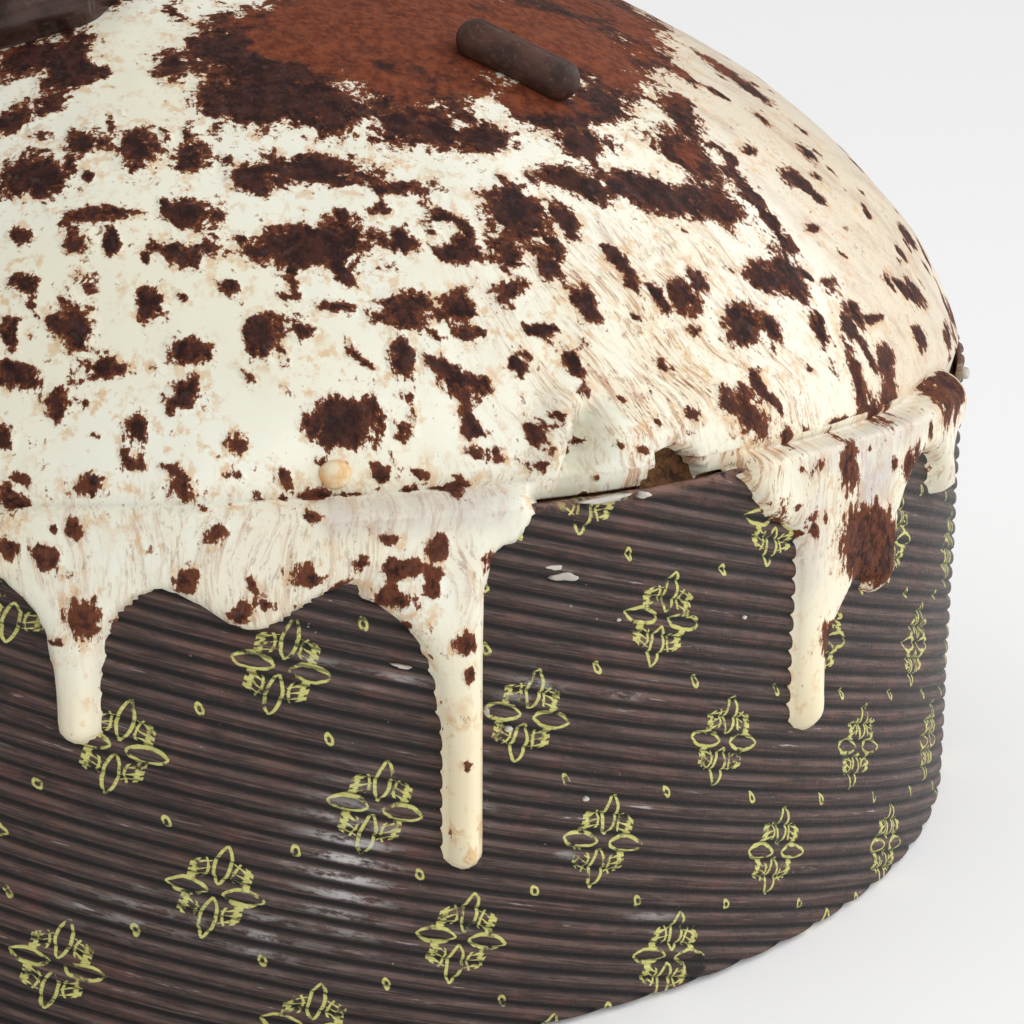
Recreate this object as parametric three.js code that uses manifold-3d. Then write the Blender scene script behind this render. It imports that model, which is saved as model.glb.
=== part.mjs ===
// Iced panettone in its paper case. Millimetres, +Z up, the front faces -Y, origin under the middle of the base.
import * as THREE from 'three';
import { mergeVertices } from 'three/addons/utils/BufferGeometryUtils.js';
import Module from 'manifold-3d';

const wasm = await Module();
wasm.setup();

// Driving sizes
const caseRadius = 105;        // outside of the paper wall
const caseHeight = 61;         // base to the mean rim
const paper = 1.0;             // corrugated wall and base
const gap = 0.3;               // clearance between separate pieces
const icingThickness = 2.4;
const domeHeight = 0.555 * caseRadius;   // rim to crown
const domeRadius = 0.994 * caseRadius;   // icing radius level with the rim
const domePower = 1.29;        // above 1 draws the flank in and leaves the crown rounder
const skirtThickness = 2.6;    // icing hanging over the rim
const segments = 90;

// Overhang of the icing, going round from the front towards +X: angle in degrees, drop below the rim
const lobes = [
  { at: 3.0, halfWidth: 9.0, drop: 3.6 },
  { at: 1.2, halfWidth: 3.2, drop: 4.0 },
  { at: -9.0, halfWidth: 4.5, drop: 1.5 },
  { at: 11.5, halfWidth: 3.6, drop: 4.5 },
  { at: 39.0, halfWidth: 4.5, drop: 5.0 },
  { at: 47.0, halfWidth: 3.6, drop: 11.0 },
  { at: 57.5, halfWidth: 3.0, drop: 3.0 },
];
const drips = [
  { at: -8.6, drop: 23.0, radius: 2.25 },
  { at: 13.4, drop: 39.8, radius: 2.15 },
  { at: 39.8, drop: 33.7, radius: 2.8 },
  { at: 47.4, drop: 20.0, radius: 2.9 },
  { at: 57.9, drop: 12.0, radius: 1.8 },
];
const bareRims = [{ at: 25.6, halfWidth: 7.2 }, { at: 76.0, halfWidth: 13.0 }];
const crumbWindow = { at: 28.1, height: 1.6, size: [4.2, 4.5, 1.9] };

// The far side follows the same habit with seeded sizes
let seed = 41;
function random() {
  seed = (seed * 16807) % 2147483647;
  return seed / 2147483647;
}
for (let angle = 98; angle < 338; angle += 13 + 6 * random()) {
  lobes.push({ at: angle, halfWidth: 3.5 + 2 * random(), drop: 4 + 6 * random() });
  const kind = random();
  if (kind > 0.45) {
    drips.push({ at: angle + 2 * random(), drop: 14 + 24 * random(), radius: 2.0 + 0.5 * random() });
  } else if (kind < 0.2) {
    bareRims.push({ at: angle + 8, halfWidth: 3.5 });
  }
}

const rad = (degrees) => degrees * Math.PI / 180;

function apart(angle, other) {
  return (angle - other + 900) % 360 - 180;
}

// Slow unevenness of the dome and of the rim
function domeBump(angle, climb) {
  const a = rad(angle);
  return climb * (0.55 * Math.sin(3 * a + 0.6) + 0.4 * Math.sin(5 * a + 2.1) + 0.3 * Math.sin(8 * a + 4.0 * climb));
}

function rimWave(angle) {
  const a = rad(angle);
  return 0.45 * Math.sin(4 * a + 0.4) + 0.35 * Math.sin(9 * a + 1.2);
}

function dropAt(angle) {
  let drop = 3.6;
  for (const lobe of lobes) {
    drop += lobe.drop * Math.exp(-((apart(angle, lobe.at) / lobe.halfWidth) ** 2));
  }
  return drop;
}

function bareAt(angle) {
  let bare = 0;
  for (const place of bareRims) {
    const within = (place.halfWidth + 2.2 - Math.abs(apart(angle, place.at))) / 2.6;
    const share = Math.min(1, Math.max(0, within));
    bare = Math.max(bare, share * share * (3 - 2 * share));
  }
  return bare;
}

// A closed body swept round Z: section(angle) gives the same number of [radius, height] points at each angle
function sweep(section, closedLoop) {
  const count = section(0).length;
  const geometry = new THREE.LatheGeometry(
    section(0).map(([radius, height]) => new THREE.Vector2(radius, height)), segments);
  const position = geometry.getAttribute('position');
  for (let i = 0; i <= segments; i += 1) {
    const angle = 360 * (i % segments) / segments;
    section(angle).forEach(([radius, height], j) => {
      position.setXYZ(i * count + j, radius * Math.sin(rad(angle)), -radius * Math.cos(rad(angle)), height);
    });
  }
  if (closedLoop) {
    const index = Array.from(geometry.getIndex().array);
    for (let i = 0; i < segments; i += 1) {
      const last = i * count + count - 1;
      const first = i * count;
      index.push(last, last + count, first, first + count, first, last + count);
    }
    geometry.setIndex(index);
  }
  return geometry;
}

function solid(geometry) {
  geometry.deleteAttribute('normal');
  geometry.deleteAttribute('uv');
  const merged = mergeVertices(geometry, 1e-5);
  const index = merged.getIndex().array;
  const position = merged.getAttribute('position').array;
  const triangles = [];
  for (let i = 0; i < index.length; i += 3) {
    const [a, b, c] = [index[i], index[i + 1], index[i + 2]];
    if (a !== b && b !== c && c !== a) {
      triangles.push(a, b, c);
    }
  }
  const body = new wasm.Manifold(new wasm.Mesh({
    numProp: 3, vertProperties: Float32Array.from(position), triVerts: Uint32Array.from(triangles) }));
  if (body.volume() < 0) {
    for (let i = 0; i < triangles.length; i += 3) {
      [triangles[i], triangles[i + 1]] = [triangles[i + 1], triangles[i]];
    }
    return new wasm.Manifold(new wasm.Mesh({
      numProp: 3, vertProperties: Float32Array.from(position), triVerts: Uint32Array.from(triangles) }));
  }
  return body;
}

function node(name, body, colour, roughness) {
  const mesh = body.getMesh();
  const geometry = new THREE.BufferGeometry();
  geometry.setAttribute('position', new THREE.BufferAttribute(Float32Array.from(mesh.vertProperties), 3));
  geometry.setIndex(new THREE.BufferAttribute(Uint32Array.from(mesh.triVerts), 1));
  geometry.computeVertexNormals();
  const made = new THREE.Mesh(geometry, new THREE.MeshStandardMaterial({ color: colour, roughness, name }));
  made.name = name;
  return made;
}

// Paper case: a cup, grown by a clearance when it is cut from the icing
function caseSection(angle, grow) {
  const rim = caseHeight + rimWave(angle) + grow;
  const outside = caseRadius + grow;
  const inside = caseRadius - paper - grow;
  return [[0, 0], [outside - 0.8, 0], [outside, 0.8], [outside, rim], [inside, rim], [inside, paper], [0, paper]];
}
const paperCase = solid(sweep((angle) => caseSection(angle, 0), false));
const caseRoom = solid(sweep((angle) => caseSection(angle, gap), false));

// Dome profile, set in by a depth under the icing surface
function domePoint(angle, climb, inset) {
  const radius = (domeRadius - inset) * Math.cos(climb * Math.PI / 2);
  const height = (domeHeight - inset) * Math.sin(climb * Math.PI / 2) ** domePower;
  return [radius, caseHeight + height + domeBump(angle, Math.sin(climb * Math.PI))];
}

function domeSection(angle, inset, steps, foot) {
  const points = foot.slice();
  for (let step = 0; step <= steps; step += 1) {
    points.push(domePoint(angle, step / steps, inset));
  }
  points[points.length - 1][0] = 0;
  points[points.length - 1][1] = caseHeight + domeHeight - inset;
  return points;
}

// Cake: fills the case and rises in a dome under the icing
const cakeRadius = caseRadius - paper - gap;
function cakeSection(angle, grow) {
  const foot = [[0, paper + gap - grow], [cakeRadius + grow, paper + gap - grow],
    [cakeRadius + grow, caseHeight - 2.5 + grow]];
  return domeSection(angle, icingThickness + gap - grow, 11, foot);
}
const cake = solid(sweep((angle) => cakeSection(angle, 0), false));
const cakeRoom = solid(sweep((angle) => cakeSection(angle, gap), false));

// Icing: a shell over the dome, an uneven skirt over the rim, and long drips
const shellFoot = [[0, caseHeight - 1], [domeRadius - 0.6, caseHeight - 1]];
let icing = solid(sweep((angle) => domeSection(angle, 0, 13, shellFoot), false));
function skirtSection(angle) {
  const bare = bareAt(angle);
  const reach = caseRadius + gap + skirtThickness - bare * (skirtThickness + 2.4);
  const bottom = caseHeight - dropAt(angle) * (1 - bare) + bare * 0.8;
  const shoulder = caseHeight + 4.2 - bare * 0.8;
  const middle = (bottom + caseHeight + 1.5) / 2;
  return [[caseRadius - 6, bottom], [caseRadius - 6, shoulder + 1], [domeRadius - 1.6, shoulder],
    [reach - 0.9, caseHeight + 2.4 - bare * 0.5], [reach, middle + 0.4 * bare],
    [reach - 0.5, bottom + 1.0 + 0.2 * bare], [reach - 2.0, bottom]];
}
icing = icing.add(solid(sweep(skirtSection, true)));
for (const drip of drips) {
  const length = drip.drop - drip.radius - 1;
  const geometry = new THREE.CapsuleGeometry(drip.radius, length, 3, 8);
  geometry.rotateX(Math.PI / 2);
  geometry.translate(0, -(caseRadius + 0.9), caseHeight - 1 - length / 2);
  geometry.rotateZ(rad(drip.at));
  icing = icing.add(solid(geometry));
}
const openCrumb = new THREE.SphereGeometry(1, 12, 8);
openCrumb.scale(...crumbWindow.size);
openCrumb.translate(0, -domeRadius, caseHeight + crumbWindow.height);
openCrumb.rotateZ(rad(crumbWindow.at));
icing = icing.subtract(solid(openCrumb)).subtract(caseRoom).subtract(cakeRoom);

// Chocolate pieces lying on the icing: angle and radius on the dome, turn about the upright, length along
const logRadius = 2.45;
const logPlaces = [
  { name: 'chocolate_log_1', at: 31.9, reach: 67.6, turn: -27, length: 15.7 },
  { name: 'chocolate_log_2', at: 158, reach: 58, turn: 34, length: 15.7 },
  { name: 'chocolate_log_3', at: 262, reach: 62, turn: 71, length: 15.7 },
];
const curlPlaces = [
  { name: 'chocolate_curl_1', at: -26.4, reach: 56.2, turn: 4, length: 31 },
  { name: 'chocolate_curl_2', at: 95, reach: 22, turn: 52, length: 31 },
];

function heightOnDome(angle, reach) {
  const climb = Math.acos(reach / domeRadius) * 2 / Math.PI;
  return domePoint(angle, climb, 0)[1];
}

// Lay a piece made along X at the origin onto the dome, tipped to follow its slope
function lay(geometry, place, lift) {
  const slope = Math.atan2(heightOnDome(place.at, place.reach - 4) - heightOnDome(place.at, place.reach + 4), 8);
  const outward = new THREE.Vector3(Math.sin(rad(place.at)), -Math.cos(rad(place.at)), 0);
  const normal = outward.clone().multiplyScalar(Math.sin(slope)).add(new THREE.Vector3(0, 0, Math.cos(slope)));
  const along = new THREE.Vector3(Math.cos(rad(place.turn)), Math.sin(rad(place.turn)), 0);
  along.addScaledVector(normal, -along.dot(normal)).normalize();
  const across = new THREE.Vector3().crossVectors(normal, along);
  const frame = new THREE.Matrix4().makeBasis(along, across, normal);
  const foot = outward.multiplyScalar(place.reach).setZ(heightOnDome(place.at, place.reach));
  frame.setPosition(foot.addScaledVector(normal, lift));
  return geometry.applyMatrix4(frame);
}

const group = new THREE.Group();
group.name = 'panettone';

for (const place of logPlaces) {
  const shape = (grow) => {
    const geometry = new THREE.CapsuleGeometry(logRadius + grow, place.length - 2 * logRadius, 3, 10);
    return solid(lay(geometry.rotateZ(Math.PI / 2), place, logRadius - 0.5));
  };
  icing = icing.subtract(shape(gap));
  group.add(node(place.name, shape(0), 0x3a2622, 0.5));
}

// Chocolate curl: a rolled strip with a pleated back
const curlHalfWidth = 7.5;
const curlHeight = 8;
const pleats = 3;
for (const place of curlPlaces) {
  const shape = (grow) => {
    const outline = [];
    for (let step = 0; step <= 20; step += 1) {
      const turn = Math.PI * step / 20;
      const ridge = 1 + 0.07 * Math.cos(2 * pleats * turn);
      outline.push(new THREE.Vector2(
        (curlHalfWidth * ridge + grow) * Math.cos(turn), (curlHeight * ridge + grow) * Math.sin(turn)));
    }
    outline.push(new THREE.Vector2(-curlHalfWidth * 0.7, -1.2 - grow));
    outline.push(new THREE.Vector2(curlHalfWidth * 0.7, -1.2 - grow));
    const geometry = new THREE.ExtrudeGeometry(new THREE.Shape(outline), {
      depth: place.length + 2 * grow, steps: 4, bevelEnabled: false });
    geometry.translate(0, 0, -place.length / 2 - grow);
    const position = geometry.getAttribute('position');
    for (let i = 0; i < position.count; i += 1) {
      const end = position.getZ(i) / (place.length / 2);
      const pinch = 1 - 0.2 * Math.min(1, Math.abs(end)) ** 3;
      position.setXY(i, position.getX(i) * pinch + 1.2 * Math.sin(2 * end), position.getY(i) * pinch);
    }
    geometry.rotateX(Math.PI / 2).rotateZ(Math.PI / 2);
    return solid(lay(geometry, place, 0.4));
  };
  icing = icing.subtract(shape(gap));
  group.add(node(place.name, shape(0), 0x34201c, 0.35));
}

group.add(node('paper_case', paperCase, 0x40302e, 0.75));
group.add(node('cake', cake, 0x8a5a34, 0.9));
group.add(node('icing', icing, 0xede6d2, 0.4));

export default group;
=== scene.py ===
# Iced panettone in a ribbed paper case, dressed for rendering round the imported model.
import math

import bpy
import numpy as np
from mathutils import Matrix, Vector, noise


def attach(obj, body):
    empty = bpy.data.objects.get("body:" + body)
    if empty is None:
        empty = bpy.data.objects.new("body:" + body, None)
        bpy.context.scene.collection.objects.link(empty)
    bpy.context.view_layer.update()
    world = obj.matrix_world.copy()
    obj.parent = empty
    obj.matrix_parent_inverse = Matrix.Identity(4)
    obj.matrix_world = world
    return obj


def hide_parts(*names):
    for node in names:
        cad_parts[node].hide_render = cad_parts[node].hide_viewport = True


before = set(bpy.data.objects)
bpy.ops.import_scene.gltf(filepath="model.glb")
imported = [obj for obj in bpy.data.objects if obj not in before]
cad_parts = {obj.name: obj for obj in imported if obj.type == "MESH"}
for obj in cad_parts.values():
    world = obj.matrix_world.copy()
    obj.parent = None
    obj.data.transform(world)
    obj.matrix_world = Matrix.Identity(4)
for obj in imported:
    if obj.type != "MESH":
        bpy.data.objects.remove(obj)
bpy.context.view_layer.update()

mm = 0.001

# Sizes shared by every piece, in millimetres
panettone = {
    "caseRadius": 105,
    "caseHeight": 61,
    "paper": 1,
    "domeHeight": 0.555 * 105,
    "domeRadius": 0.994 * 105,
    "domePower": 1.29,
}
arcPerDegree = panettone["caseRadius"] * math.pi / 180


def wrap(angle):
    return (np.asarray(angle, float) + 180) % 360 - 180


def smoothStep(low, high, value):
    t = np.clip((value - low) / (high - low), 0, 1)
    return t * t * (3 - 2 * t)


# 1 within half of the middle, dying off softly outside it
def plateau(value, middle, half):
    return np.exp(-((value - middle) / half) ** 4)


# Points on a ring round the upright axis; a is in radians from the front
def ringPoints(ring, a, z):
    return np.stack([ring * np.sin(a), -ring * np.cos(a), z], -1)


def rimWave(angle):
    a = np.radians(angle)
    return 0.45 * np.sin(4 * a + 0.4) + 0.35 * np.sin(9 * a + 1.2)


def domeBump(angle, climb):
    a = np.radians(angle)
    waves = 0.55 * np.sin(3 * a + 0.6) + 0.4 * np.sin(5 * a + 2.1) + 0.3 * np.sin(8 * a + 4 * climb)
    return climb * waves


# Radius and height on the dome; the climb runs from 0 at the rim to 1 at the crown
def domePoint(angle, climb):
    turn = climb * math.pi / 2
    radius = panettone["domeRadius"] * np.cos(turn)
    rise = panettone["domeHeight"] * np.sin(turn) ** panettone["domePower"]
    fade = np.clip((1 - climb) / 0.08, 0, 1)
    return radius, panettone["caseHeight"] + rise + fade * domeBump(angle, np.sin(climb * math.pi))


# Fractal noise at points in millimetres, about -1 to 1
def field(points, size, seed, detail=3):
    shift = Vector((seed * 17.3, seed * 5.1, seed * 9.7))
    values = [noise.fractal(Vector(p) / size + shift, 0.6, 2.1, detail) for p in points]
    return np.array(values)


# A mesh piece from points in millimetres
def makePiece(name, points, faces, material):
    mesh = bpy.data.meshes.new(name)
    mesh.from_pydata((np.asarray(points) * mm).tolist(), [], [tuple(int(i) for i in f) for f in faces])
    mesh.validate()
    mesh.update()
    piece = bpy.data.objects.new(name, mesh)
    bpy.context.scene.collection.objects.link(piece)
    mesh.materials.append(material)
    mesh.polygons.foreach_set("use_smooth", [True] * len(mesh.polygons))
    finishPiece(piece)
    return piece


def finishPiece(piece):
    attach(piece, "root")


# Four channels painted on the points of a piece, for its material
def paintPoints(piece, name, channels):
    layer = piece.data.color_attributes.new(name, "FLOAT_COLOR", "POINT")
    layer.data.foreach_set("color", np.stack(channels, -1).astype(np.float32).ravel())


# For every corner of every face: its point, and the first point of its face
def faceCorners(mesh):
    corners = np.empty(len(mesh.loops), int)
    starts = np.empty(len(mesh.polygons), int)
    totals = np.empty(len(mesh.polygons), int)
    mesh.loops.foreach_get("vertex_index", corners)
    mesh.polygons.foreach_get("loop_start", starts)
    mesh.polygons.foreach_get("loop_total", totals)
    return corners, corners[np.repeat(starts, totals)]


# A UV map from millimetres, in tenths of a metre
def addMap(piece, name, across, up):
    layer = piece.data.uv_layers.new(name=name)
    layer.data.foreach_set("uv", np.stack([across / 100, up / 100], -1).ravel())


def outwardNormals(piece):
    deselectAll()
    piece.select_set(True)
    bpy.context.view_layer.objects.active = piece
    bpy.ops.object.mode_set(mode="EDIT")
    bpy.ops.mesh.select_all(action="SELECT")
    bpy.ops.mesh.normals_make_consistent(inside=False)
    bpy.ops.object.mode_set(mode="OBJECT")


def deselectAll():
    if bpy.context.mode != "OBJECT":
        bpy.ops.object.mode_set(mode="OBJECT")
    bpy.ops.object.select_all(action="DESELECT")


# Materials: short ways to make them
def newMaterial(name):
    material = bpy.data.materials.new(name)
    material.use_nodes = True
    return material, Wires(material.node_tree), material.node_tree.nodes["Principled BSDF"]


# A colour as the eye sees it, turned into the linear values that Blender mixes
def srgb(red, green, blue):
    mixed = [c / 12.92 if c <= 0.04045 else ((c + 0.055) / 1.055) ** 2.4 for c in (red, green, blue)]
    return (*mixed, 1)


# A node's output that can be reckoned with like a number
class Value:
    def __init__(self, wires, socket):
        self.wires = wires
        self.socket = socket

    def __add__(self, other):
        return self.wires.math("ADD", self, other)

    def __sub__(self, other):
        return self.wires.math("SUBTRACT", self, other)

    def __rsub__(self, other):
        return self.wires.math("SUBTRACT", other, self)

    def __mul__(self, other):
        return self.wires.math("MULTIPLY", self, other)

    def __truediv__(self, other):
        return self.wires.math("DIVIDE", self, other)

    def __abs__(self):
        return self.wires.math("ABSOLUTE", self)

    __radd__ = __add__
    __rmul__ = __mul__


# Short ways to add and join nodes in one tree
class Wires:
    def __init__(self, tree):
        self.tree = tree

    # A node with its settings and inputs; gives one output, the first unless another is named
    def add(self, kind, inputs=(), output=0, **settings):
        node = self.tree.nodes.new(kind)
        for key, value in settings.items():
            setattr(node, key, value)
        for name, value in dict(inputs).items():
            self.put(node.inputs[name], value)
        return Value(self, node.outputs[output])

    def put(self, socket, value):
        if isinstance(value, Value):
            self.tree.links.new(value.socket, socket)
        else:
            socket.default_value = value

    # All the outputs of a node that takes a colour or a vector apart
    def split(self, kind, value):
        parts = self.add(kind, {0: value})
        return [Value(self, socket) for socket in parts.socket.node.outputs]

    # The four channels of a colour attribute
    def paint(self, name):
        colour = self.add("ShaderNodeVertexColor", layer_name=name)
        alpha = Value(self, colour.socket.node.outputs["Alpha"])
        return *self.split("ShaderNodeSeparateColor", colour), alpha

    def place(self):
        return self.add("ShaderNodeTexCoord", output="Object")

    def math(self, operation, *values):
        return self.add("ShaderNodeMath", dict(enumerate(values)), operation=operation)

    def most(self, *values):
        return self.math("MAXIMUM", *values)

    def ramp(self, value, low, high, toLow=0, toHigh=1):
        inputs = {"Value": value, "From Min": low, "From Max": high, "To Min": toLow, "To Max": toHigh}
        return self.add("ShaderNodeMapRange", inputs, "Result", interpolation_type="SMOOTHSTEP")

    def mix(self, factor, a, b):
        return self.add("ShaderNodeMix", {"Factor": factor, "A": a, "B": b}, "Result", data_type="RGBA")

    # Colours laid over a first one, each through its own mask
    def layers(self, colour, coats):
        for mask, tint in coats:
            colour = self.mix(mask, colour, srgb(*tint))
        return colour

    def noise(self, vector, scale, detail=4, roughness=0.55, distortion=0, output="Fac"):
        inputs = {"Vector": vector, "Scale": scale, "Detail": detail, "Roughness": roughness}
        return self.add("ShaderNodeTexNoise", {**inputs, "Distortion": distortion}, output)

    def scaled(self, vector, factors):
        return self.add("ShaderNodeMapping", {"Vector": vector, "Scale": factors})

    # Numbers and links for the named inputs of the shader
    def dress(self, shader, inputs):
        for name, value in inputs.items():
            self.put(shader.inputs[name], value)

    def bump(self, height, strength, distance, normal=None):
        inputs = {"Strength": strength, "Distance": distance, "Height": height}
        if normal:
            inputs["Normal"] = normal
        return self.add("ShaderNodeBump", inputs)


# Camera, lights and floor
studio = {
    "cameraPlace": (0, -0.3406, 0.1288),
    "turnRight": 7.06,       # degrees away from the middle of the piece
    "tiltDown": 15.74,
    "roll": 0.28,
    "lens": 84.3,
    "worldStrength": 0.48,
    "keyPower": 3.1,
    "skyPower": 1.75,
}

camera = bpy.data.objects.new("camera", bpy.data.cameras.new("camera"))
bpy.context.scene.collection.objects.link(camera)
camera.data.lens = studio["lens"]
camera.data.sensor_width = 36
camera.data.clip_start = 0.01
camera.matrix_world = (
    Matrix.Translation(studio["cameraPlace"])
    @ Matrix.Rotation(math.radians(-studio["turnRight"]), 4, "Z")
    @ Matrix.Rotation(math.radians(90 - studio["tiltDown"]), 4, "X")
    @ Matrix.Rotation(math.radians(studio["roll"]), 4, "Z")
)
bpy.context.scene.camera = camera
bpy.context.scene.view_settings.view_transform = "Standard"


def areaLight(name, place, aim, size, power):
    light = bpy.data.objects.new(name, bpy.data.lights.new(name, "AREA"))
    bpy.context.scene.collection.objects.link(light)
    light.data.shape = "DISK"
    light.data.size = size
    light.data.energy = power
    light.location = place
    light.rotation_euler = (Vector(aim) - Vector(place)).to_track_quat("-Z", "Y").to_euler()


areaLight("keyLight", (0.5, -0.95, 0.72), (0, 0, 0.07), 0.7, studio["keyPower"])
sky = bpy.data.objects.new("skyLight", bpy.data.lights.new("skyLight", "SUN"))
bpy.context.scene.collection.objects.link(sky)
sky.data.energy = studio["skyPower"]
sky.data.angle = math.radians(70)          # a wide soft window, high on the right
sky.rotation_euler = Vector((0.95, 0.05, 0.6)).to_track_quat("Z", "Y").to_euler()

world = bpy.data.worlds.new("studioWorld")
bpy.context.scene.world = world
world.use_nodes = True
skyWires = world.node_tree
backdrop = skyWires.nodes["Background"]
backdrop.inputs["Color"].default_value = (1, 1, 1, 1)
backdrop.inputs["Strength"].default_value = studio["worldStrength"]
seen = skyWires.nodes.new("ShaderNodeBackground")       # what the camera sees is plain white
seen.inputs["Color"].default_value = (1, 1, 1, 1)
rays = skyWires.nodes.new("ShaderNodeLightPath")
choose = skyWires.nodes.new("ShaderNodeMixShader")
skyWires.links.new(rays.outputs["Is Camera Ray"], choose.inputs[0])
skyWires.links.new(backdrop.outputs[0], choose.inputs[1])
skyWires.links.new(seen.outputs[0], choose.inputs[2])
skyWires.links.new(choose.outputs[0], skyWires.nodes["World Output"].inputs[0])

deselectAll()
bpy.ops.mesh.primitive_plane_add(size=6, location=(0, 0, -0.0003))
floor = bpy.context.object
floor.name = "floor"
floorMaterial, floorWires, floorShader = newMaterial("paleFloor")
floorWires.dress(floorShader, {
    "Base Color": (0.97, 0.97, 0.97, 1), "Roughness": 0.7,
    "Emission Color": (1, 1, 1, 1), "Emission Strength": 0.1,
})
floor.data.materials.append(floorMaterial)
print("stage: camera, lights and floor ready")

# Paper case: a wall of slanting ribs, base and inside
paperCase = {
    "ribStarts": 92,          # ribs that begin round the foot
    "ribSteps": 5,            # mesh rows to one rib
    "ribSlope": 16.95,        # degrees, falling to the right
    "ribDepth": (-0.46, -0.09, 0, -0.02, -0.13),
    # icing wiped on the ribs: angle in degrees, depth under the rim, half sizes in mm, strength
    "smears": [
        (6.4, 38, 3.6, 6, 1), (1.6, 45.5, 3, 2.6, 0.55), (-5.5, 42.5, 6, 2.2, 0.35),
        (9, 17.4, 3.4, 0.8, 0.55), (17.9, 20.6, 2.6, 1.6, 0.5), (24.4, 22.8, 2, 0.9, 0.6),
        (26.8, 50.6, 3, 0.8, 0.45), (4.6, 15, 2.8, 0.7, 0.35), (14.5, 33, 1, 5, 0.3), (20, 40, 0.9, 1, 0.6),
        (96, 30, 5, 4, 0.8), (171, 44, 6, 3, 0.7), (-70, 24, 5, 5, 0.8), (-128, 40, 4, 3, 0.6),
    ],
    # marks left by the two rods that the loaf hung from: angle, height, radius
    "rodHoles": [(30.2, 2.3, 1.15), (-30.2, 2.6, 1), (149.6, 2.2, 1.1), (-150.2, 2.7, 1.2)],
}


def buildPaperCase(material):
    columns = paperCase["ribStarts"] * paperCase["ribSteps"]
    radius, height, paper = (panettone[key] for key in ("caseRadius", "caseHeight", "paper"))
    step = math.tan(math.radians(paperCase["ribSlope"])) * 2 * math.pi * radius / columns
    rows = int(round(height / step))
    i = np.arange(columns)
    angle = 360 * i / columns
    a = np.radians(angle)
    wave = rimWave(angle)

    def unevenness(z, size, seed):
        return field(np.stack([radius * np.cos(a), radius * np.sin(a), 0 * a + z], -1), size, seed, 2)

    ragged = 0.14 * unevenness(0, 1.7, 3)
    depths = np.array(paperCase["ribDepth"])
    points = []
    for j in range(rows + 1):
        z = height * j / rows
        lift = smoothStep(25, height, z) * wave
        ring = np.full(columns, radius) + depths[(i + j) % paperCase["ribSteps"]]
        ring = np.minimum(ring + 0.1 * unevenness(z, 9, 8) - 0.05, radius)
        if j == 0:
            ring = ring - 0.7      # the turn into the base
        top = ragged if j == rows else 0
        points.append(ringPoints(ring, a, z + lift + top))
    # the inside: a little below the torn edge, further down, and at the floor
    for z in (height + wave + ragged - 0.05, height - 8 + 0 * wave, paper + 0 * wave):
        points.append(ringPoints(radius - paper, a, z))
    allRows = len(points)
    points = np.concatenate(points + [[[0, 0, 0]], [[0, 0, paper]]])
    under, floorTop = len(points) - 2, len(points) - 1
    last = (allRows - 1) * columns
    faces = []
    for j in range(allRows - 1):
        for k in range(columns):
            n = (k + 1) % columns
            a0, a1 = j * columns + k, j * columns + n
            b0, b1 = a0 + columns, a1 + columns
            faces += [(a0, a1, b0), (a1, b1, b0)] if j < rows else [(a0, a1, b1, b0)]
    for k in range(columns):
        n = (k + 1) % columns
        faces += [(under, n, k), (last + k, last + n, floorTop)]
    piece = makePiece("paperCase", points, faces, material)

    turn = np.arctan2(points[:, 0], -points[:, 1])
    corner, firstCorner = faceCorners(piece.data)
    first = turn[firstCorner]
    unrolled = first + (turn[corner] - first + math.pi) % (2 * math.pi) - math.pi
    addMap(piece, "wall", unrolled * radius, points[corner, 2])
    a = np.degrees(turn)
    depth = height - points[:, 2]
    smear = np.zeros(len(points))
    for at, low, wide, tall, strength in paperCase["smears"]:
        s = wrap(a - at) * arcPerDegree
        d = depth - low - s * 0.12
        smear = np.maximum(smear, strength * np.exp(-0.7 * ((s / wide) ** 2 + (d / tall) ** 2)))
    # the dark paint at each rod's mark stands for the opening and the painted shade inside it
    holeShade = np.zeros(len(points))
    for at, up, size in paperCase["rodHoles"]:
        s = wrap(a - at) * arcPerDegree
        holeShade = np.maximum(holeShade, smoothStep(size + 1.3, size - 0.5, np.hypot(s, points[:, 2] - up)))
    edge = smoothStep(-1.3, -0.2, -depth - rimWave(a))
    edge = np.where(points[:, 2] < 40, 0, edge)
    paintPoints(piece, "wearAndHoleShade", [smear, holeShade, edge, np.ones(len(points))])
    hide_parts("paper_case")


printValues = {
    "slope": 16.95,           # the print runs along the ribs
    "across": 14.03,          # half the repeat along and across the ribs, millimetres
    "down": 12.98,
    "startAngle": 26.9,       # a rosette sits here
    "startHeight": 45.9,
    "line": 0.3,
    "leafAt": 3.1,            # middle of a plain leaf, its half length and half width
    "leafHalf": 2.25,
    "leafWidth": 0.85,
    "toothedAt": 2.3,         # middle of a toothed leaf, on both axes
    "barbPitch": 0.72,
    "ringRadius": 0.5,
}


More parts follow.
